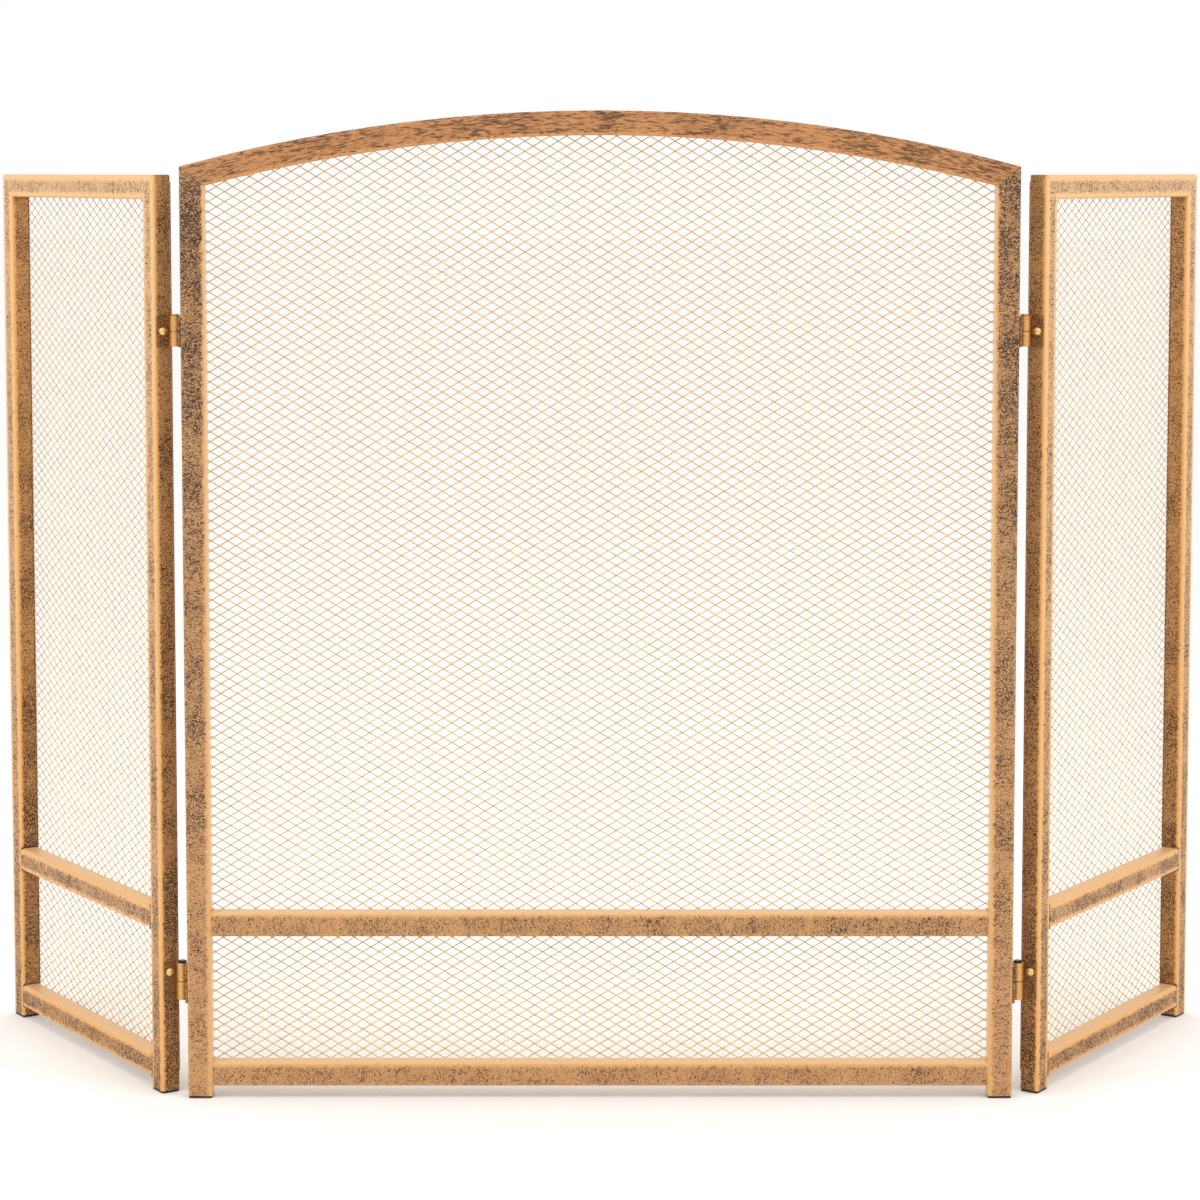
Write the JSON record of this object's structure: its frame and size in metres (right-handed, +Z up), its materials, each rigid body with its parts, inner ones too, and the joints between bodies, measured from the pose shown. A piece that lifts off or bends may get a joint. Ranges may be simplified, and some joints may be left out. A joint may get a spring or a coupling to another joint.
{
  "type": "fireplace screen",
  "caption": "Free-standing folding fireplace screen: an arched center frame with a hinged wing on each side, wire mesh infill, copper-colored tube frames.",
  "frame": {"origin": "on the floor, in the middle of the footprint of the screen as it stands", "axes": "+X to the right along the center frame, +Y to the back, towards the fire, +Z up; the wings fold back"},
  "size_m": [0.9646, 0.2466, 0.737],
  "materials": {
    "frame_paint": "antiqued copper paint, streaked and speckled dark brown, satin",
    "arch_paint": "the same antiqued copper paint, darker",
    "wire_mesh": "woven steel wire, gold lacquer",
    "strip_paint": "antiqued copper paint",
    "hinge_paint": "antiqued copper paint, glossier than the frame",
    "pin_steel": "blackened steel",
    "screw_brass": "polished brass plating",
    "foot_plastic": "moulded black plastic"
  },
  "bodies": {
    "center_panel": {"center_left_stile": "frame_paint", "center_right_stile": "frame_paint", "center_arch_rail": "arch_paint", "center_mid_rail": "frame_paint", "center_bottom_rail": "frame_paint", "center_mesh": "wire_mesh", "center_mesh_strip_left": "strip_paint", "center_mesh_strip_right": "strip_paint", "center_mesh_strip_top": "strip_paint", "center_mesh_strip_bottom": "strip_paint", "center_left_foot_plug": "foot_plastic", "center_right_foot_plug": "foot_plastic", "left_upper_hinge_center_leaf": "hinge_paint", "left_upper_hinge_pin": "pin_steel", "left_lower_hinge_center_leaf": "hinge_paint", "left_lower_hinge_pin": "pin_steel", "right_upper_hinge_center_leaf": "hinge_paint", "right_upper_hinge_pin": "pin_steel", "right_lower_hinge_center_leaf": "hinge_paint", "right_lower_hinge_pin": "pin_steel"},
    "left_wing": {"left_inner_stile": "frame_paint", "left_outer_stile": "frame_paint", "left_top_rail": "frame_paint", "left_mid_rail": "frame_paint", "left_bottom_rail": "frame_paint", "left_mesh": "wire_mesh", "left_mesh_strip_inner": "strip_paint", "left_mesh_strip_outer": "strip_paint", "left_mesh_strip_top": "strip_paint", "left_mesh_strip_bottom": "strip_paint", "left_inner_foot_plug": "foot_plastic", "left_outer_foot_plug": "foot_plastic", "left_upper_hinge_wing_leaf": "hinge_paint", "left_upper_hinge_screw": "screw_brass", "left_lower_hinge_wing_leaf": "hinge_paint", "left_lower_hinge_screw": "screw_brass"},
    "right_wing": {"right_inner_stile": "frame_paint", "right_outer_stile": "frame_paint", "right_top_rail": "frame_paint", "right_mid_rail": "frame_paint", "right_bottom_rail": "frame_paint", "right_mesh": "wire_mesh", "right_mesh_strip_inner": "strip_paint", "right_mesh_strip_outer": "strip_paint", "right_mesh_strip_top": "strip_paint", "right_mesh_strip_bottom": "strip_paint", "right_inner_foot_plug": "foot_plastic", "right_outer_foot_plug": "foot_plastic", "right_upper_hinge_wing_leaf": "hinge_paint", "right_upper_hinge_screw": "screw_brass", "right_lower_hinge_wing_leaf": "hinge_paint", "right_lower_hinge_screw": "screw_brass"}
  },
  "joints": [
    {"name": "left_fold", "type": "hinge", "parent": "center_panel", "child": "left_wing", "pos_m": [-0.3139, -0.10873, 0.33], "axis": [0, 0, -1], "range_deg": [-56, 94]},
    {"name": "right_fold", "type": "hinge", "parent": "center_panel", "child": "right_wing", "pos_m": [0.3139, -0.10873, 0.33], "axis": [0, 0, 1], "range_deg": [-56, 94]}
  ]
}
